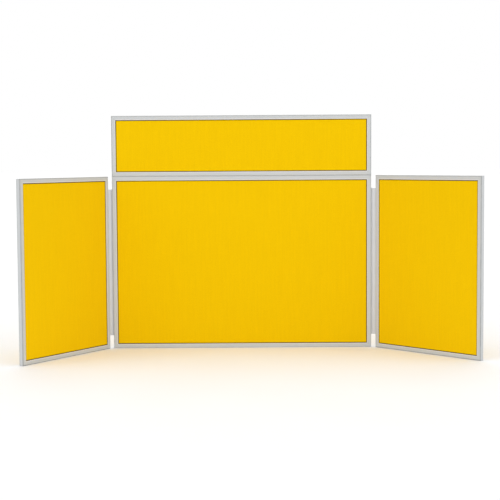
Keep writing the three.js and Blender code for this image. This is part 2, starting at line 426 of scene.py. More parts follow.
class LoopPile(SharedEffect):
    """The brushed loops of display cloth: their height, each loop's own tone and the shade between them."""

    label = "Loop pile"
    takes = (PLACE, Port("Loops", value=1000.0))
    gives = (Port("Height"), Port("Tone"), Port("Shade"))
    warp = 0.5 * MM
    warps = 900.0
    flattened = 0.75  # a loop is this much less fine up the cloth than across it
    unevenness = 0.9
    fuzz = 3.0  # the fuzz's scale, as a share of the loops'
    loop_share = 0.7

    def draw(self, graph: Graph, given: Sockets) -> Sockets:
        """Rounds each loop off, shades the gaps between loops and fuzzes the tops.

        Args:
            graph: the group's tree.
            given: its inputs.

        Returns:
            The pile's height, the loops' tone and the shade between them.
        """
        vector, loops = given["Vector"], given["Loops"]
        warp = graph.add("ShaderNodeTexNoise", {"Vector": vector, "Scale": self.warps, "Detail": 2.0})
        shift = graph.add("ShaderNodeVectorMath", {0: warp.outputs["Color"], 3: self.warp}, operation="SCALE")
        moved = graph.add("ShaderNodeVectorMath", {0: vector, 1: shift.outputs[0]}, operation="ADD")
        place = graph.stretched(moved.outputs[0], 1.0, self.flattened, 1.0)
        feeds = {"Vector": place, "Scale": loops, "Randomness": self.unevenness}
        cells = graph.add("ShaderNodeTexVoronoi", feeds, feature="F1").outputs
        fuzz = graph.noise(vector, graph.times(loops, self.fuzz), detail=3.0, rough=0.65)
        rise = graph.times(graph.math("SUBTRACT", 1.0, cells["Distance"]), self.loop_share)
        # painted shade: how deep each point lies between loops, which darkens the cloth's colour
        gap = graph.span(cells["Distance"], 0.25, 0.7)
        return {
            "Height": graph.total(rise, (fuzz, 1.0 - self.loop_share)),
            "Tone": graph.add("ShaderNodeSeparateColor", {0: cells["Color"]}).outputs[0],
            "Shade": graph.times(gap, graph.span(fuzz, 0.3, 0.7, 0.6, 1.0)),
        }


TONE_DRIFT = ToneDrift()
MOULDED_GRAIN = MouldedGrain()
DRAWN_LINES = DrawnLines()
SCUFFS = Scuffs()
SETTLED_DUST = SettledDust()
LOOP_PILE = LoopPile()


# ---- finishes --------------------------------------------------------------------------------


def own_place(graph: Graph) -> Socket:
    """The coordinates that a new piece keeps in its own directions."""
    return graph.add("ShaderNodeAttribute", attribute_name=LOCAL).outputs["Vector"]


def object_place(graph: Graph) -> Socket:
    """The coordinates of the whole screen, for a piece with none of its own."""
    return graph.add("ShaderNodeTexCoord").outputs["Object"]


@dataclass(frozen=True)
class Finish:
    """A surface that pieces are given, whose colour drifts. Each kind of finish draws its own nodes."""

    name: str
    colour: Colour
    patches: float = 10.0
    drift: float = 0.05

    def material(self) -> bpy.types.Material:
        """The finish's material, made the first time that it is asked for.

        Returns:
            The material.
        """
        known = bpy.data.materials.get(self.name)
        if known:
            return known
        made = bpy.data.materials.new(self.name)
        made.use_nodes = True
        made.diffuse_color = (*self.colour, 1.0)
        graph = Graph(made.node_tree)
        graph.feed(made.node_tree.nodes["Principled BSDF"], self.draw(graph))
        return made

    def draw(self, graph: Graph) -> Feeds:
        """Draws the finish's nodes, and says what feeds its shader."""
        raise NotImplementedError

    def toned(self, graph: Graph, place: Socket) -> bpy.types.NodeOutputs:
        """The finish's drifting colour, with its tone."""
        return TONE_DRIFT.place(graph, place, Colour=self.colour, Patches=self.patches, Strength=self.drift)


@dataclass(frozen=True)
class ExtrudedPlastic(Finish):
    """Rigid plastic extrusion: fine grain, die lines, rubbed outer edges darkened with soil and painted
    shade, painted lip highlights.
    """

    patches: float = 14.0
    drift: float = 0.02
    roughness: float = 0.40
    edge_colour: Colour = (0.20, 0.21, 0.205)
    # how much the rounded outer edges are darkened, with soil together with painted shade
    edge_soil_and_shade_share: float = 0.5
    edge_start: float = 0.2 * MM
    edge_width: float = 4.5 * MM
    half_depth: float = 8.5 * MM
    # a paler colour paints a highlight on the inner lips; the scuffs take the same pale colour
    lip_highlight_and_scuff_colour: Colour = (0.70, 0.70, 0.69)
    lip_start: float = 11.5 * MM
    lip_fade: float = 1.2 * MM
    lip_highlight_share: float = 0.8
    dust_colour: Colour = (0.62, 0.60, 0.56)

    def draw(self, graph: Graph) -> Feeds:
        """Paints soil and shade on the outer edges and a highlight on the lips, and lays lines, scuffs and
        dust over them.

        The pieces' own Z runs inwards from their outer face, and their Y across it.

        Args:
            graph: the material's tree.

        Returns:
            What feeds the shader.
        """
        place = own_place(graph)
        parts = graph.add("ShaderNodeSeparateXYZ", {0: place}).outputs
        inward = parts["Z"]
        from_middle = graph.math("ABSOLUTE", parts["Y"])
        drift = self.toned(graph, place)
        uneven = graph.span(graph.noise(place, 55.0, detail=4.0), 0.3, 0.7, 0.75, 1.0)
        outer = graph.span(inward, self.edge_start, self.edge_width, 1.0, 0.0)
        corner = graph.span(from_middle, self.half_depth - self.edge_width, self.half_depth)
        # soil and painted shade on the rounded outer edges
        edge_soil_and_shade = graph.times(graph.times(outer, corner), uneven)
        # painted highlight along the inner lips
        lip_highlight = graph.span(inward, self.lip_start, self.lip_start + self.lip_fade, 0.0, self.lip_highlight_share)
        scuffed = SCUFFS.place(graph, place, Cover=0.55)["Mask"]
        dust = SETTLED_DUST.place(graph, place, Amount=0.25)["Mask"]
        lines = DRAWN_LINES.place(graph, place, Lines=1100.0)
        grain = MOULDED_GRAIN.place(graph, place, Grains=1500.0)["Height"]
        colour = drift["Colour"]
        for share, laid in (
            (graph.times(lines["Mask"], 0.10), self.edge_colour),
            (lip_highlight, self.lip_highlight_and_scuff_colour),
            (graph.times(edge_soil_and_shade, self.edge_soil_and_shade_share), self.edge_colour),
            (graph.times(scuffed, 0.5), self.lip_highlight_and_scuff_colour),
            (dust, self.dust_colour),
        ):
            colour = graph.mix(share, colour, laid)
        height = graph.total(graph.times(grain, 0.5), (lines["Height"], 0.5))
        return {
            "Base Color": colour,
            "Roughness": graph.total(self.roughness, (drift["Tone"], 0.04), (scuffed, 0.2), (dust, 0.4)),
            "Normal": graph.bump(height, 0.35, 0.06 * MM),
            "Specular IOR Level": 0.45,
        }


@dataclass(frozen=True)
class SoftPlastic(Finish):
    """Flexible plastic of the hinge strips: smoother, with faint die lines and stress marks."""

    patches: float = 20.0
    drift: float = 0.025
    roughness: float = 0.38
    stress_colour: Colour = (0.75, 0.75, 0.76)
    dust_colour: Colour = (0.62, 0.60, 0.56)

    def draw(self, graph: Graph) -> Feeds:
        """Lays pale lines and scuffs and a little dust over the plastic.

        Args:
            graph: the material's tree.

        Returns:
            What feeds the shader.
        """
        place = own_place(graph)
        drift = self.toned(graph, place)
        lines = DRAWN_LINES.place(graph, place, Lines=1400.0)
        scuffed = SCUFFS.place(graph, place, Cover=0.4)["Mask"]
        dust = SETTLED_DUST.place(graph, place, Amount=0.2)["Mask"]
        colour = graph.mix(graph.times(lines["Mask"], 0.12), drift["Colour"], self.stress_colour)
        colour = graph.mix(graph.times(scuffed, 0.4), colour, self.stress_colour)
        return {
            "Base Color": graph.mix(dust, colour, self.dust_colour),
            "Roughness": graph.total(self.roughness, (scuffed, 0.25), (dust, 0.4)),
            "Normal": graph.bump(lines["Height"], 0.3, 0.05 * MM),
            "Specular IOR Level": 0.5,
        }


@dataclass(frozen=True)
class LoopCloth(Finish):
    """Brushed nylon loop cloth, with a soft bloom and a line of painted shade under the frame's lips."""

    patches: float = 9.0
    drift: float = 0.006
    # the crevice fields paint shade: a near-black line on the cloth just inside the frame's lips
    crevice_shade_colour: Colour = (0.02, 0.015, 0.004)
    crevice_width: float = 3.4 * MM
    crevice_core: float = 1.5 * MM
    crevice_share: float = 0.96
    deep_colour: Colour = (0.7, 0.4, 0.0)
    bloom_colour: Colour = (1.0, 0.75, 0.15)
    loops: float = 950.0
    fray: float = 0.5 * MM

    def draw(self, graph: Graph) -> Feeds:
        """Paints shade between loops and, with a frayed edge, under the lips, and darkens along the nap.

        The pieces' own X runs across the cloth and their Y up it.

        Args:
            graph: the material's tree.

        Returns:
            What feeds the shader.
        """
        place = own_place(graph)
        rim = graph.add("ShaderNodeAttribute", attribute_name=RIM).outputs["Fac"]
        pile = LOOP_PILE.place(graph, place, Loops=self.loops)
        nap = graph.noise(graph.stretched(place, 160.0, 7.0, 1.0), 1.0, detail=3.0, rough=0.6)
        nap_tone = graph.span(nap, 0.35, 0.65, 0.0, 0.14)
        # the loops' and the nap's own tone, plus painted shade in the gaps between loops
        deep = graph.total(nap_tone, (pile["Tone"], 0.20), (pile["Shade"], 0.55))
        colour = graph.mix(deep, self.toned(graph, place)["Colour"], self.deep_colour)
        frayed = graph.math("SUBTRACT", graph.noise(place, 700.0), 0.5)
        edge = graph.total(rim, (frayed, self.fray))
        # painted shade: the cloth is darkened to near black within a few millimetres of the lips
        painted_crevice_shade = graph.span(edge, self.crevice_core, self.crevice_width, self.crevice_share, 0.0)
        return {
            "Base Color": graph.mix(painted_crevice_shade, colour, self.crevice_shade_colour),
            "Roughness": graph.total(0.86, (pile["Tone"], 0.1)),
            "Normal": graph.bump(pile["Height"], 0.8, 0.6 * MM),
            "Specular IOR Level": 0.03,
            "Sheen Weight": 0.03,
            "Sheen Roughness": 0.5,
            "Sheen Tint": self.bloom_colour,
        }


@dataclass(frozen=True)
class PlatedSteel(Finish):
    """Zinc-plated or drawn steel, with a faint spangle and drawing lines."""

    patches: float = 240.0
    drift: float = 0.10
    roughness: float = 0.3
    tarnish_colour: Colour = (0.32, 0.31, 0.29)
    own: bool = False  # whether the piece keeps coordinates of its own

    def draw(self, graph: Graph) -> Feeds:
        """Lays tarnish, scuffs and lines over the spangle.

        Args:
            graph: the material's tree.

        Returns:
            What feeds the shader.
        """
        place = own_place(graph) if self.own else object_place(graph)
        lines = DRAWN_LINES.place(graph, place, Lines=2600.0)
        scuffed = SCUFFS.place(graph, place, Cover=0.7)["Mask"]
        tarnish = graph.span(graph.noise(place, 120.0, detail=5.0, rough=0.65), 0.52, 0.72, 0.0, 0.6)
        return {
            "Base Color": graph.mix(tarnish, self.toned(graph, place)["Colour"], self.tarnish_colour),
            "Roughness": graph.total(self.roughness, (tarnish, 0.3), (scuffed, 0.2)),
            "Normal": graph.bump(lines["Height"], 0.3, 0.04 * MM),
            "Metallic": 1.0,
        }


@dataclass(frozen=True)
class FibreBoard(Finish):
    """The card of the core boards: a fibrous face with the cells behind it showing faintly."""

    patches: float = 30.0
    drift: float = 0.08
    fibre_colour: Colour = (0.34, 0.24, 0.12)
    cells: float = 80.0

    def draw(self, graph: Graph) -> Feeds:
        """Lays fibres and the cells' walls over the card.

        Args:
            graph: the material's tree.

        Returns:
            What feeds the shader.
        """
        place = object_place(graph)
        strands = graph.noise(graph.stretched(place, 300.0, 300.0, 40.0), 1.0, detail=4.0)
        fibres = graph.span(strands, 0.5, 0.7, 0.0, 0.5)
        feeds = {"Vector": place, "Scale": self.cells, "Randomness": 0.15}
        walls = graph.add("ShaderNodeTexVoronoi", feeds, feature="DISTANCE_TO_EDGE").outputs["Distance"]
        wall = graph.span(walls, 0.02, 0.1, 0.35, 0.0)
        marks = graph.math("MAXIMUM", fibres, wall)
        return {
            "Base Color": graph.mix(marks, self.toned(graph, place)["Colour"], self.fibre_colour),
            "Roughness": graph.total(0.8, (fibres, 0.2)),
            "Normal": graph.bump(graph.math("ADD", fibres, wall), 0.4, 0.1 * MM),
        }


@dataclass(frozen=True)
class StudioFloor(Finish):
    """A pale, even floor with the slightest mottle."""

    patches: float = 3.0
    drift: float = 0.006

    def draw(self, graph: Graph) -> Feeds:
        """Mottles the colour and the roughness together.

        Args:
            graph: the material's tree.

        Returns:
            What feeds the shader.
        """
        drift = self.toned(graph, object_place(graph))
        rough = graph.total(0.75, (drift["Tone"], 0.05))
        return {"Base Color": drift["Colour"], "Roughness": rough, "Specular IOR Level": 0.2}


FRAME_GREY = (0.565, 0.583, 0.592)
# the handled frame paints soil and shade strongly on its outer edges, the sheltered one faintly
HANDLED_EDGE_SHADED_FRAME = ExtrudedPlastic("Grey frame, handled_edge_shaded", colour=FRAME_GREY, edge_soil_and_shade_share=0.75)
SHELTERED_FAINT_EDGE_SHADE_FRAME = ExtrudedPlastic("Grey frame, sheltered", colour=FRAME_GREY, edge_soil_and_shade_share=0.1)
# painted light: the hinge grey is paler than the frame grey to lift the shade of the hinge's recess
HINGE_GREY = SoftPlastic("Grey hinge strip", colour=(0.74, 0.745, 0.765))
YELLOW_CLOTH = LoopCloth("Yellow loop cloth", colour=(0.935, 0.600, 0.0015), deep_colour=(0.80, 0.485, 0.001))
CORE_CARD = FibreBoard("Core card", colour=(0.48, 0.36, 0.20))
KEY_ZINC = PlatedSteel("Zinc-plated key", colour=(0.60, 0.61, 0.62), roughness=0.35)
PEG_STEEL = PlatedSteel("Drawn steel peg", colour=(0.64, 0.65, 0.66), roughness=0.22, own=True)
SLEEVE_NYLON = SoftPlastic("Natural nylon sleeve", colour=(0.74, 0.73, 0.68), roughness=0.45)
FLOOR_WHITE = StudioFloor("Pale floor", colour=(0.95, 0.95, 0.95))


# ---- shaping helpers -------------------------------------------------------------------------


def wire(bm: BMesh, points: Iterable[Vector]) -> list[BMVert]:
    """Lays a closed loop of edges.

    Args:
        bm: the mesh that it goes into.
        points: the loop's corners in order.

    Returns:
        The corners' vertices, in the same order.
    """
    corners = [bm.verts.new(point) for point in points]
    for first, second in zip(corners, corners[1:] + corners[:1]):
        bm.edges.new((first, second))
    return corners


def round_corners(bm: BMesh, corners: Sequence[BMVert], radius: float, steps: int) -> None:
    """Rounds corners of a wire loop to arcs.

    Args:
        bm: the mesh that holds the loop.
        corners: the vertices to round.
        radius: the arcs' radius at a square corner.
        steps: how many edges each arc has.
    """
    bmesh.ops.bevel(
        bm, geom=list(corners), offset=radius, offset_type="OFFSET", segments=steps, profile=0.5,
        affect="VERTICES", material=-1,
    )


def fill_and_extrude(bm: BMesh, way: Vector) -> list[BMVert]:
    """Fills the loops that a mesh holds, inner ones as holes, and extrudes the section to a closed solid.

    Args:
        bm: a mesh that holds only wire loops in one plane.
        way: how far and which way the section is drawn.

    Returns:
        The vertices of the far end.
    """
    filled = bmesh.ops.triangle_fill(bm, use_beauty=True, edges=bm.edges[:], normal=way.normalized())
    section = [part for part in filled["geom"] if isinstance(part, bmesh.types.BMFace)]
    drawn = bmesh.ops.extrude_face_region(bm, geom=section)
    far = [part for part in drawn["geom"] if isinstance(part, BMVert)]
    bmesh.ops.translate(bm, verts=far, vec=way)
    bmesh.ops.recalc_face_normals(bm, faces=bm.faces[:])
    return far


def mark_creases(bm: BMesh, angle: float = CREASE) -> None:
    """Shades a mesh smooth apart from its sharp edges.

    Args:
        bm: the mesh.
        angle: the turn between two faces past which their edge is sharp.
    """
    bm.normal_update()
    for face in bm.faces:
        face.smooth = True
    for edge in bm.edges:
        edge.smooth = edge.calc_face_angle(0.0) < angle


def box_in(names: Iterable[str], placement: Matrix) -> tuple[Vector, Vector]:
    """The box of some nodes in a panel's own directions.

    Args:
        names: the nodes' names.
        placement: the panel's place in the screen.

    Returns:
        The box's lowest and highest corners.
    """
    back = placement.inverted()
    points = [back @ vertex.co for name in names for vertex in frame["nodes"][name].data.vertices]
    return Vector(map(min, zip(*points))), Vector(map(max, zip(*points)))


@dataclass(frozen=True)
class Piece:
    """What a new piece is called, what it moves with, its finish and the nodes that it stands for."""

    name: str
    slot: Slot
    finish: Finish
    body: str | None = None
    stands_for: tuple[str, ...] = ()

    def make(self, bm: BMesh, placement: Matrix) -> bpy.types.Object:
        """Turns a shaped mesh into a placed and dressed piece.

        Args:
            bm: the mesh in the piece's own directions. It is used up.
            placement: where those directions lie in the screen.

        Returns:
            The piece's object, at the origin.
        """
        own = bm.verts.layers.float_vector.new(LOCAL)
        for vertex in bm.verts:
            vertex[own] = vertex.co
        bmesh.ops.transform(bm, matrix=placement, verts=bm.verts[:])
        mark_creases(bm)
        mesh = bpy.data.meshes.new(self.name)
        bm.to_mesh(mesh)
        bm.free()
        mesh.materials.append(self.finish.material())
        made = bpy.data.objects.new(self.name, mesh)
        bpy.context.scene.collection.objects.link(made)
        even = made.modifiers.new("Even normals", "WEIGHTED_NORMAL")
        even.keep_sharp = True
        if self.stands_for:
            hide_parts(*self.stands_for)
        if self.body:
            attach(made, self.body)
        log.info("%s: %d faces", self.name, len(mesh.polygons))
        return made


def dress(name: str, finish: Finish) -> None:
    """Gives a carried-over node its finish.

    Args:
        name: the node's name.
        finish: what it is made of.
    """
    node = frame["nodes"][name]
    node.material_slots[0].material = finish.material()
    log.info("%s: %s", name, finish.name)


# ---- panels ----------------------------------------------------------------------------------


@dataclass(frozen=True)
class RailSection:
    """The frame's extrusion, seen along its length, with Z running inwards from its outer face."""

    depth: float
    face: float
    edge_radius: float = 3.0 * MM
    lip_radius: float = 1.4 * MM
    tip_radius: float = 0.3 * MM
    channel_half: float = 6.4 * MM
    channel_foot: float = 8.0 * MM
    chamber_half: float = 5.0 * MM
    chamber_span: tuple[float, float] = (4.3 * MM, 6.7 * MM)
    hollow_half: float = 5.3 * MM
    hollow_span: tuple[float, float] = (1.3 * MM, 3.1 * MM)
    mouth_half: float = 1.3 * MM
    pocket_half: float = 2.9 * MM
    pocket_span: tuple[float, float] = (1.4 * MM, 3.1 * MM)
    arc_steps: int = 8
    tip_steps: int = 3

    def outline(self, bm: BMesh, x: float, hinged: bool) -> None:
        """Lays the section's outer loop, with its corners rounded.

        Args:
            bm: the mesh that it goes into.
            x: where along the rail it is laid.
            hinged: whether the outer face has the hinge groove.
        """
        half = self.depth / 2
        low, high = self.pocket_span
        groove = [
            (self.mouth_half, 0.0),
            (self.mouth_half, low),
            (self.pocket_half, low),
            (self.pocket_half, high),
            (-self.pocket_half, high),
            (-self.pocket_half, low),
            (-self.mouth_half, low),
            (-self.mouth_half, 0.0),
        ]
        walls = [
            (-half, 0.0),
            (-half, self.face),
            (-self.channel_half, self.face),
            (-self.channel_half, self.channel_foot),
            (self.channel_half, self.channel_foot),
            (self.channel_half, self.face),
            (half, self.face),
            (half, 0.0),
        ]
        corners = wire(bm, [Vector((x, y, z)) for y, z in walls + (groove if hinged else [])])
        round_corners(bm, (corners[0], corners[7]), self.edge_radius, self.arc_steps)
        round_corners(bm, (corners[1], corners[6]), self.lip_radius, self.arc_steps)
        round_corners(bm, (corners[2], corners[5]), self.tip_radius, self.tip_steps)

    def voids(self, bm: BMesh, x: float, hinged: bool) -> None:
        """Lays the loops of the closed chambers.

        Args:
            bm: the mesh that they go into.
            x: where along the rail they are laid.
            hinged: whether the groove takes the hollow's place.
        """
        chambers = [(self.chamber_half, self.chamber_span)]
        if not hinged:
            chambers.append((self.hollow_half, self.hollow_span))
        for half, (low, high) in chambers:
            wire(bm, [Vector((x, y, z)) for y, z in ((-half, low), (half, low), (half, high), (-half, high))])

    def rail(self, length: float, mitre_gap: float, hinged: bool) -> BMesh:
        """Shapes a rail along X with both ends mitred.

        Args:
            length: the outer face's length, before the mitre gap.
            mitre_gap: the gap between two rails at a corner.
            hinged: whether the outer face has the hinge groove.

        Returns:
            The rail's mesh.
        """
        bm = bmesh.new()
        self.outline(bm, -length / 2, hinged)
        self.voids(bm, -length / 2, hinged)
        near = bm.verts[:]
        far = fill_and_extrude(bm, Vector((length, 0, 0)))
        for ends, way in ((near, 1), (far, -1)):
            mitre = Matrix.Identity(4)
            mitre[0][2] = way
            mitre[0][3] = way * mitre_gap / 2
            bmesh.ops.transform(bm, matrix=mitre, verts=ends)
        return bm


@dataclass(frozen=True)
class Drilling:
    """The holes through a rail for the peg sleeves."""

    centres: tuple[float, ...]
    radius: float
    depth: float
    overshoot: float = 1.0 * MM
    steps: int = 40

    def cut(self, rail: BMesh) -> BMesh:
        """Cuts the holes.

        Args:
            rail: the rail's mesh. It is used up.

        Returns:
            The drilled rail's mesh.
        """
        drills = bmesh.new()
        for x in self.centres:
            place = Matrix.Translation((x, 0, self.depth / 2 - self.overshoot))
            bmesh.ops.create_cone(
                drills, cap_ends=True, segments=self.steps, radius1=self.radius, radius2=self.radius,
                depth=self.depth + 2 * self.overshoot, matrix=place,
            )
        pair = []
        for label, bm in (("rail blank", rail), ("drills", drills)):
            mesh = bpy.data.meshes.new(label)
            bm.to_mesh(mesh)
            bm.free()
            pair.append(bpy.data.objects.new(label, mesh))
            bpy.context.scene.collection.objects.link(pair[-1])
        blank, cutter = pair
        boolean = blank.modifiers.new("Holes", "BOOLEAN")
        boolean.operation = "DIFFERENCE"
        boolean.object = cutter
        boolean.solver = "EXACT"
        done = blank.evaluated_get(bpy.context.evaluated_depsgraph_get())
        drilled = bmesh.new()
        drilled.from_mesh(done.to_mesh())
        done.to_mesh_clear()
        for spent in pair:
            bpy.data.meshes.remove(spent.data)
        return drilled


@dataclass(frozen=True)
class ClothSheet:
    """One face's cloth, pulled flat over the board and down under the frame's lips."""

    width: float
    height: float
    thickness: float
    covered: float
    crown: float = 0.25 * MM
    crown_reach: float = 6.0 * MM
    cell: float = 14.0 * MM
    roll: tuple[float, ...] = (0.5 * MM, 0.6 * MM, 0.8 * MM, 1.2 * MM, 2.5 * MM, 5.0 * MM)
    sag: float = 0.12 * MM

    def shape(self) -> BMesh:
        """Shapes the sheet in the XY plane, with its outer face up and its back face at z = 0.

        Returns:
            The sheet's mesh, closed, with the distance to the lips kept on its vertices.
        """
        bm = bmesh.new()
        hidden = self.covered - self.roll[0]
        margin = hidden + sum(self.roll)
        bmesh.ops.create_grid(
            bm,
            x_segments=max(2, round((self.width - 2 * margin) / self.cell)),
            y_segments=max(2, round((self.height - 2 * margin) / self.cell)),
            size=0.5,
            matrix=Matrix.Diagonal((self.width - 2 * margin, self.height - 2 * margin, 1.0, 1.0)),
        )
        bmesh.ops.translate(bm, verts=bm.verts[:], vec=(0, 0, self.thickness))
        for reach in (*reversed(self.roll), hidden):
            self.widen(bm, reach)
        rim = bm.verts.layers.float.new(RIM)
        for vertex in bm.verts:
            edge = min(self.width / 2 - abs(vertex.co.x), self.height / 2 - abs(vertex.co.y))
            vertex[rim] = max(0.0, edge - self.covered)
            rise = min(1.0, vertex[rim] / self.crown_reach)
            across = math.cos(math.pi * vertex.co.x / self.width)
            along = math.cos(math.pi * vertex.co.y / self.height)
            vertex.co.z += self.crown * math.sin(rise * math.pi / 2) - self.sag * (across * along)
        walled = bmesh.ops.extrude_face_region(bm, geom=bm.faces[:], use_keep_orig=True)
        for part in walled["geom"]:
            if isinstance(part, BMVert):
                part.co.z -= self.thickness
        bmesh.ops.recalc_face_normals(bm, faces=bm.faces[:])
        return bm

    def widen(self, bm: BMesh, reach: float) -> None:
        """Draws the sheet's border outwards in its own plane.

        Args:
            bm: the sheet so far.
            reach: how far the border goes.
        """
        border = [edge for edge in bm.edges if edge.is_boundary]
        half_x = max(vertex.co.x for vertex in bm.verts)
        half_y = max(vertex.co.y for vertex in bm.verts)
        drawn = bmesh.ops.extrude_edge_only(bm, edges=border)
        fresh = [part for part in drawn["geom"] if isinstance(part, BMVert)]
        bmesh.ops.scale(bm, verts=fresh, vec=((half_x + reach) / half_x, (half_y + reach) / half_y, 1.0))


@dataclass
class FramedPanel:
    """A board faced with cloth in a frame of four mitred rails."""

    name: str
    body: str
    placement: Matrix
    hinged: tuple[Side, ...] = ()
    sheltered_faint_edge_shade: tuple[Side, ...] = ()
    drilled: Side | None = None
    mitre_gap: float = 0.3 * MM
    drill_radius: float = 4.3 * MM
    drill_past: float = 1.0 * MM
    low: Vector = field(init=False)
    high: Vector = field(init=False)
    section: RailSection = field(init=False)

    def __post_init__(self) -> None:
        """Reads the panel's sizes from its nodes."""
        self.low, self.high = box_in([f"{self.name}_{side.word}_rail" for side in Side], self.placement)
        foot = box_in([f"{self.name}_bottom_rail"], self.placement)
        self.section = RailSection(depth=foot[1].y - foot[0].y, face=foot[1].z - foot[0].z)

    def side_place(self, side: Side) -> Matrix:
        """Where a side's rail lies: X along it and Z inwards from the middle of its outer face.

        Args:
            side: the side.

        Returns:
            The rail's placement.
        """
        middle = Vector((
            self.low.x + side.across * (self.high.x - self.low.x),
            0,
            self.low.z + side.up * (self.high.z - self.low.z),
        ))
        return self.placement @ Matrix.Translation(middle) @ Matrix.Rotation(side.turn, 4, "Y")

    def make_rails(self) -> None:
        """Makes the four rails."""
        for side in Side:
            node = f"{self.name}_{side.word}_rail"
            length = (self.high - self.low).z if side.upright else (self.high - self.low).x
            bm = self.section.rail(length, self.mitre_gap, side in self.hinged)
            if side is self.drilled:
                centres = tuple(self.peg_centres())
                through = self.section.channel_foot + self.drill_past
                bm = Drilling(centres, self.drill_radius, through).cut(bm)
            # sheltered and hinged sides get only faint painted edge shade and soil
            finish = SHELTERED_FAINT_EDGE_SHADE_FRAME if side in self.hinged + self.sheltered_faint_edge_shade else HANDLED_EDGE_SHADED_FRAME
            Piece(f"{node}_extrusion", Slot.FRAME, finish, self.body, (node,)).make(bm, self.side_place(side))

    def peg_centres(self) -> Iterable[float]:
        """Where the peg sleeves stand along the panel.

        Yields:
            Each sleeve's middle.
        """
        for which in ("left", "right"):
            low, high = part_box(f"{self.name}_{which}_peg_sleeve")
            yield (low[0] + high[0]) / 2

    def make_cloths(self) -> None:
        """Makes the cloth on both faces."""
        for face in Face:
            node = f"{self.name}_{face.word}_fabric"
            low, high = box_in([node], self.placement)
            size = high - low
            lip_overlap = self.section.face - (low.x - self.low.x)
            sheet = ClothSheet(size.x, size.z, size.y, covered=lip_overlap)
            back_face = min(abs(low.y), abs(high.y))
            stand = Matrix.Rotation(face.turn, 4, "Z") @ Matrix.Translation((0, -back_face, 0))
            middle = Matrix.Translation(((low.x + high.x) / 2, 0, (low.z + high.z) / 2))
            place = self.placement @ middle @ stand @ Matrix.Rotation(math.pi / 2, 4, "X")
            piece = Piece(f"{self.name}_{face.word}_loop_cloth", Slot.CLOTH, YELLOW_CLOTH, self.body, (node,))
            made = piece.make(sheet.shape(), place)

    def dress_inside(self) -> None:
        """Dresses the core board and the corner keys."""
        dress(f"{self.name}_core_board", CORE_CARD)
        for upright in ("bottom", "top"):
            for across in ("left", "right"):
                dress(f"{self.name}_{upright}_{across}_corner_key", KEY_ZINC)

    def build(self) -> None:
        """Makes and dresses the whole panel."""
        log.info("panel %s", self.name)
        self.make_rails()
        self.make_cloths()
        self.dress_inside()


# ---- hinges ----------------------------------------------------------------------------------


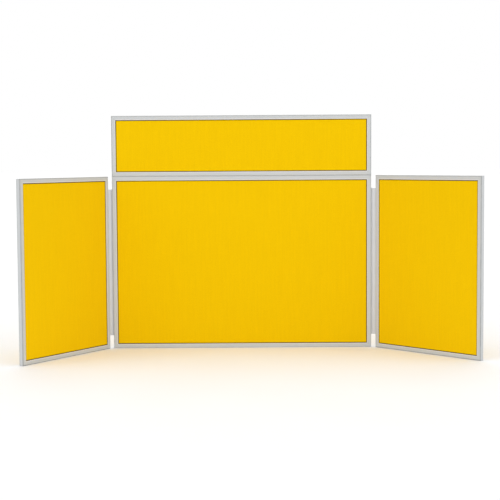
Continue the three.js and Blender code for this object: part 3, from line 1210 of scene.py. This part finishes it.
@dataclass(frozen=True)
class StripHinge:
    """A strip between the centre panel and a wing, with a soft fold line beside each rail."""

    side: str
    thickness: float = 2.0 * MM
    tip_thickness: float = 0.88 * MM
    line_thickness: float = 0.96 * MM
    line_reach: float = 0.9 * MM
    lap: float = 0.06 * MM
    shoulder: float = 1.8 * MM
    bead_half: float = 2.6 * MM
    bead_head: float = -1.7 * MM
    bead_foot: float = -2.8 * MM
    neck_end: float = 0.5 * MM
    edge_radius: float = 0.5 * MM
    bead_radius: float = 0.3 * MM
    corner_steps: int = 4
    fold_steps: int = 10

    def foot(self, which: FoldLine) -> Vector:
        """A fold line's point at the height of the strip's foot."""
        found = next(j for j in frame["joints"] if j["name"] == f"{self.side}_wing_{which.joint}")
        return Vector((found["pos_m"][0], found["pos_m"][1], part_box(f"{self.side}_hinge_strip")[0][2]))

    @property
    def inner_line(self) -> Vector:
        """The foot of the fold line beside the centre panel."""
        return self.foot(FoldLine.INNER)

    @property
    def outer_line(self) -> Vector:
        """The foot of the fold line beside the wing."""
        return self.foot(FoldLine.OUTER)

    @property
    def height(self) -> float:
        """The strip's length up the panels."""
        low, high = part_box(f"{self.side}_hinge_strip")
        return high[2] - low[2]

    @property
    def outward(self) -> Vector:
        """The way from the centre panel towards this side."""
        return Vector((math.copysign(1.0, self.inner_line.x), 0, 0))

    @property
    def half_fold(self) -> float:
        """The turn about Z from the centre panel to the strip, which is half the wing's."""
        strip = self.outer_line - self.inner_line
        return math.atan2(self.outward.cross(strip).z, self.outward.dot(strip))

    def standing(self, foot: Vector, turn: float) -> Matrix:
        """Directions at a fold line with Z up the strip and Y outwards, turned about Z from there."""
        base = math.atan2(-self.outward.x, 0.0)
        return Matrix.Translation(foot) @ Matrix.Rotation(base + turn, 4, "Z")

    def draw_up(self, half: Sequence[tuple[float, float]], rounded: Sequence[int], radius: float) -> BMesh:
        """Draws a section that is the same on both faces of the strip up to its full height.

        Args:
            half: the section's half, as distances from the middle and along Y.
            rounded: which of those corners are rounded.
            radius: the radius that they are rounded to.

        Returns:
            The piece's mesh, standing on z = 0.
        """
        bm = bmesh.new()
        mirrored = [(-x, y) for x, y in reversed(half)]
        corners = wire(bm, [Vector((x, y, 0)) for x, y in [*half, *mirrored]])
        picked = [corners[i] for i in rounded] + [corners[-1 - i] for i in rounded]
        round_corners(bm, picked, radius, self.corner_steps)
        fill_and_extrude(bm, Vector((0, 0, self.height)))
        return bm

    def make_web(self) -> None:
        """Makes the strip between the fold lines."""
        span = (self.outer_line - self.inner_line).length
        start = self.line_reach - self.lap
        tip, full = self.tip_thickness / 2, self.thickness / 2
        half = [
            (tip, start),
            (tip, self.shoulder - self.edge_radius),
            (full, self.shoulder),
            (full, span - self.shoulder),
            (tip, span - self.shoulder + self.edge_radius),
            (tip, span - start),
        ]
        bm = self.draw_up(half, (2, 3), self.edge_radius)
        piece = Piece(
            f"{self.side}_hinge_web_strip", Slot.HINGE, HINGE_GREY, f"{self.side}_hinge_web",
            (f"{self.side}_hinge_strip",),
        )
        piece.make(self.lying(bm), self.upright(self.standing(self.inner_line, self.half_fold)))

    def make_bead(self, which: FoldLine, body: str, line: Vector, turn: float, standoff: float) -> None:
        """Makes an edge bead with its neck, in a rail's groove.

        Args:
            which: the fold line.
            body: what it moves with.
            line: the foot of the fold line beside it.
            turn: the turn about Z that points Y out of the groove.
            standoff: the distance from the rail's outer face to the fold line.
        """
        tip, full = self.tip_thickness / 2, self.thickness / 2
        half = [
            (self.bead_half, self.bead_foot),
            (self.bead_half, self.bead_head),
            (full, self.bead_head),
            (full, self.neck_end),
            (tip, self.neck_end + full - tip),
            (tip, standoff - self.line_reach + self.lap),
        ]
        half = [(x, y - standoff) for x, y in half]
        half[4] = (tip, min(half[4][1], half[5][1] - self.lap / 2))
        bm = self.draw_up(half, (0, 1), self.bead_radius)
        piece = Piece(
            f"{self.side}_hinge_{which.word}_edge_bead", Slot.HINGE, HINGE_GREY, body,
            (f"{self.side}_hinge_{which.word}_bead",),
        )
        piece.make(self.lying(bm), self.upright(self.standing(line, turn)))

    def make_line(self, which: FoldLine, line: Vector, turn: float) -> None:
        """Makes a fold line, bent from one side's direction to the other's.

        Args:
            which: the fold line.
            line: the fold line's foot.
            turn: the turn about Z of the direction that it starts in.
        """
        bend = self.half_fold
        start_place = self.standing(line, turn)
        end = self.standing(line, turn + bend) @ Vector((0, self.line_reach, 0))
        radius = self.line_reach / math.tan(abs(bend) / 2)
        bm = bmesh.new()
        half = self.line_thickness / 2
        section = ((-half, 0), (half, 0), (half, self.height), (-half, self.height))
        wire(bm, [Vector((x, -self.line_reach, z)) for x, z in section])
        first = bmesh.ops.edgenet_fill(bm, edges=bm.edges[:])["faces"]
        bmesh.ops.duplicate(bm, geom=first)
        centre = Vector((-math.copysign(radius, bend), -self.line_reach, 0))
        bmesh.ops.spin(
            bm, geom=first, cent=centre, axis=(0, 0, 1), angle=bend, steps=self.fold_steps,
            use_duplicate=False,
        )
        bmesh.ops.remove_doubles(bm, verts=bm.verts[:], dist=SAME_POINT)
        bmesh.ops.recalc_face_normals(bm, faces=bm.faces[:])
        piece = Piece(f"{self.side}_hinge_{which.word}_fold_line", Slot.HINGE, HINGE_GREY)
        made = piece.make(self.lying(bm), self.upright(start_place))
        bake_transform(made)

    def lying(self, bm: BMesh) -> BMesh:
        """Lays a standing piece down so that its own X runs along it, as the die lines do."""
        bmesh.ops.transform(bm, matrix=LAID_DOWN, verts=bm.verts[:])
        return bm

    def upright(self, placement: Matrix) -> Matrix:
        """The placement that stands a laid piece up again."""
        return placement @ LAID_DOWN.inverted()

    def build(self) -> None:
        """Makes the strip, its two fold lines and its two beads."""
        log.info("hinge %s", self.side)
        web, wing = f"{self.side}_hinge_web", f"{self.side}_wing"
        standoff = abs(self.inner_line.x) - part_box("centre_right_rail")[1][0]
        full_turn = 2 * self.half_fold
        self.make_web()
        self.make_bead(FoldLine.INNER, "centre_panel", self.inner_line, 0.0, standoff)
        self.make_bead(FoldLine.OUTER, wing, self.outer_line, full_turn + math.pi, standoff)
        self.make_line(FoldLine.INNER, self.inner_line, 0.0)
        self.make_line(FoldLine.OUTER, self.outer_line, self.half_fold)


# ---- header pegs -----------------------------------------------------------------------------


@dataclass(frozen=True)
class HeaderPegs:
    """The two pegs that stand the header on the centre panel, and the sleeves that they fit."""

    sides: tuple[str, ...] = ("left", "right")
    dome: float = 2.2 * MM
    bore_gap: float = 0.3 * MM
    mouth: float = 0.6 * MM
    foot_radius: float = 0.5 * MM
    mouth_radius: float = 0.25 * MM
    level_within: float = 0.1 * MM
    steps: int = 40
    dome_steps: int = 8
    corner_steps: int = 3

    def make_peg(self, side: str) -> None:
        """Makes a domed steel peg.

        Args:
            side: left or right.
        """
        node = f"header_{side}_peg"
        low, high = (Vector(corner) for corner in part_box(node))
        radius = (high.x - low.x) / 2
        bm = bmesh.new()
        bmesh.ops.create_cone(
            bm, cap_ends=True, segments=self.steps, radius1=radius, radius2=radius, depth=high.z - low.z,
        )
        ends = [e for e in bm.edges if abs(e.verts[0].co.z - e.verts[1].co.z) < self.level_within]
        bmesh.ops.bevel(
            bm, geom=ends, offset=self.dome, offset_type="OFFSET", segments=self.dome_steps, profile=0.5,
            affect="EDGES", material=-1,
        )
        bmesh.ops.transform(bm, matrix=LAID_DOWN, verts=bm.verts[:])
        place = Matrix.Translation((low + high) / 2) @ LAID_DOWN.inverted()
        Piece(f"{node}_dowel", Slot.PEG, PEG_STEEL, "header_panel", (node,)).make(bm, place)

    def make_sleeve(self, owner: str, body: str, side: str, mouth_up: bool) -> None:
        """Makes a plastic sleeve with a flared mouth.

        Args:
            owner: the panel's name.
            body: what it moves with.
            side: left or right.
            mouth_up: whether its mouth faces up.
        """
        node = f"{owner}_{side}_peg_sleeve"
        low, high = (Vector(corner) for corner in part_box(node))
        peg_low, peg_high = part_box(f"header_{side}_peg")
        outer = (high.x - low.x) / 2
        bore = (peg_high[0] - peg_low[0]) / 2 + self.bore_gap
        length = high.z - low.z
        bm = bmesh.new()
        profile = [
            (bore, -length),
            (outer, -length),
            (outer, 0),
            (bore + self.mouth, 0),
            (bore, -self.mouth),
        ]
        corners = wire(bm, [Vector((x, 0, z)) for x, z in profile])
        round_corners(bm, (corners[1],), self.foot_radius, self.corner_steps)
        round_corners(bm, (corners[3], corners[4]), self.mouth_radius, self.corner_steps)
        bmesh.ops.spin(
            bm, geom=bm.verts[:] + bm.edges[:], cent=(0, 0, 0), axis=(0, 0, 1), angle=2 * math.pi,
            steps=self.steps, use_merge=True, use_duplicate=False,
        )
        bmesh.ops.remove_doubles(bm, verts=bm.verts[:], dist=SAME_POINT)
        bmesh.ops.recalc_face_normals(bm, faces=bm.faces[:])
        foot = Vector(((low.x + high.x) / 2, (low.y + high.y) / 2, high.z if mouth_up else low.z))
        place = Matrix.Translation(foot) @ Matrix.Rotation(0.0 if mouth_up else math.pi, 4, "X")
        Piece(f"{node}_liner", Slot.SLEEVE, SLEEVE_NYLON, body, (node,)).make(bm, place)

    def build(self) -> None:
        """Makes the pegs and their four sleeves."""
        log.info("header pegs")
        for side in self.sides:
            self.make_peg(side)
            self.make_sleeve("centre", "centre_panel", side, True)
            self.make_sleeve("header", "header_panel", side, False)


# ---- studio ----------------------------------------------------------------------------------


@dataclass(frozen=True)
class SoftLight:
    """A very wide, far softbox, given by the way that it lies from the screen."""

    name: str
    bearing: float
    height: float
    spread: float
    strength: float

    def hang(self) -> None:
        """Hangs the light. Its bearing runs from the front round to the screen's right."""
        lamp = bpy.data.lights.new(self.name, "SUN")
        lamp.angle = math.radians(self.spread)
        lamp.energy = self.strength
        held = bpy.data.objects.new(self.name, lamp)
        bearing, height = math.radians(self.bearing), math.radians(self.height)
        held.rotation_euler = (math.pi / 2 - height, 0.0, bearing)
        bpy.context.scene.collection.objects.link(held)


@dataclass(frozen=True)
class Studio:
    """The pale floor, the soft light and the camera."""

    floor_radius: float = 60.0
    floor_steps: int = 96
    sky_light: float = 0.54
    eye: tuple[float, float, float] = (0.055, -4.495, 0.662)
    yaw: float = math.radians(-0.343)
    pitch: float = math.radians(4.08)
    roll: float = math.radians(-0.363)
    lens: float = 93.04
    sensor: float = 36.0
    lights: tuple[SoftLight, ...] = (
        SoftLight("Left front softbox", -66.0, 44.0, 70.0, 0.74),
        SoftLight("Right front softbox", 66.0, 44.0, 70.0, 0.74),
        SoftLight("Low front softbox", 3.0, 9.0, 50.0, 0.66),
        SoftLight("Top back softbox", 172.0, 62.0, 50.0, 0.50),
        SoftLight("Low back softbox", 180.0, 24.0, 70.0, 0.42),
    )

    def lay_floor(self) -> None:
        """Lays the floor that the screen stands on."""
        bm = bmesh.new()
        bmesh.ops.create_circle(bm, cap_ends=True, segments=self.floor_steps, radius=self.floor_radius)
        mesh = bpy.data.meshes.new("Floor")
        bm.to_mesh(mesh)
        bm.free()
        mesh.materials.append(FLOOR_WHITE.material())
        floor = bpy.data.objects.new("Floor", mesh)
        bpy.context.scene.collection.objects.link(floor)

    def light(self) -> None:
        """Sets an even sky, which is seen as white, and hangs the softboxes."""
        world = bpy.data.worlds.new("Even sky")
        world.use_nodes = True
        graph = Graph(world.node_tree)
        seen = graph.add("ShaderNodeLightPath").outputs["Is Camera Ray"]
        strength = graph.span(seen, 0.0, 1.0, self.sky_light, 1.0)
        graph.feed(world.node_tree.nodes["Background"], {"Color": (1.0, 1.0, 1.0), "Strength": strength})
        bpy.context.scene.world = world
        for light in self.lights:
            light.hang()

    def set_camera(self) -> None:
        """Sets the camera at the view's height, distance and slight roll."""
        ahead = Vector((
            math.sin(self.yaw) * math.cos(self.pitch),
            math.cos(self.yaw) * math.cos(self.pitch),
            -math.sin(self.pitch),
        ))
        level = Vector((math.cos(self.yaw), -math.sin(self.yaw), 0))
        over = level.cross(ahead)
        right = math.cos(self.roll) * level + math.sin(self.roll) * over
        up = -math.sin(self.roll) * level + math.cos(self.roll) * over
        turn = Matrix((right, up, -ahead)).transposed().to_4x4()
        lens = bpy.data.cameras.new("View")
        lens.lens = self.lens
        lens.sensor_width = self.sensor
        camera = bpy.data.objects.new("View", lens)
        camera.matrix_world = Matrix.Translation(self.eye) @ turn
        bpy.context.scene.collection.objects.link(camera)
        bpy.context.scene.camera = camera

    def build(self) -> None:
        """Sets the stage and plain colour handling."""
        self.lay_floor()
        self.light()
        self.set_camera()
        bpy.context.scene.view_settings.view_transform = "Standard"


# ---- the screen ------------------------------------------------------------------------------


def wing_place(hinge: StripHinge) -> Matrix:
    """Where a wing's own directions lie, with their origin at its fold line on the desk.

    Args:
        hinge: the hinge that carries the wing.

    Returns:
        The wing's placement.
    """
    foot = hinge.outer_line.copy()
    foot.z = 0
    return Matrix.Translation(foot) @ Matrix.Rotation(2 * hinge.half_fold, 4, "Z")


def main() -> None:
    """Builds the screen and its studio."""
    logging.basicConfig(level=logging.INFO, format="%(name)s: %(message)s")
    left, right = StripHinge("left"), StripHinge("right")
    square_on = Matrix.Identity(4)
    panels = (
        FramedPanel(
            "centre",
            "centre_panel",
            square_on,
            hinged=(Side.LEFT, Side.RIGHT),
            sheltered_faint_edge_shade=(Side.TOP, Side.BOTTOM),
            drilled=Side.TOP,
        ),
        FramedPanel("header", "header_panel", square_on, sheltered_faint_edge_shade=(Side.BOTTOM,), drilled=Side.BOTTOM),
        FramedPanel("left_wing", "left_wing", wing_place(left), hinged=(Side.RIGHT,)),
        FramedPanel("right_wing", "right_wing", wing_place(right), hinged=(Side.LEFT,)),
    )
    for part in (*panels, left, right, HeaderPegs(), Studio()):
        part.build()


if __name__ == "__main__":
    main()
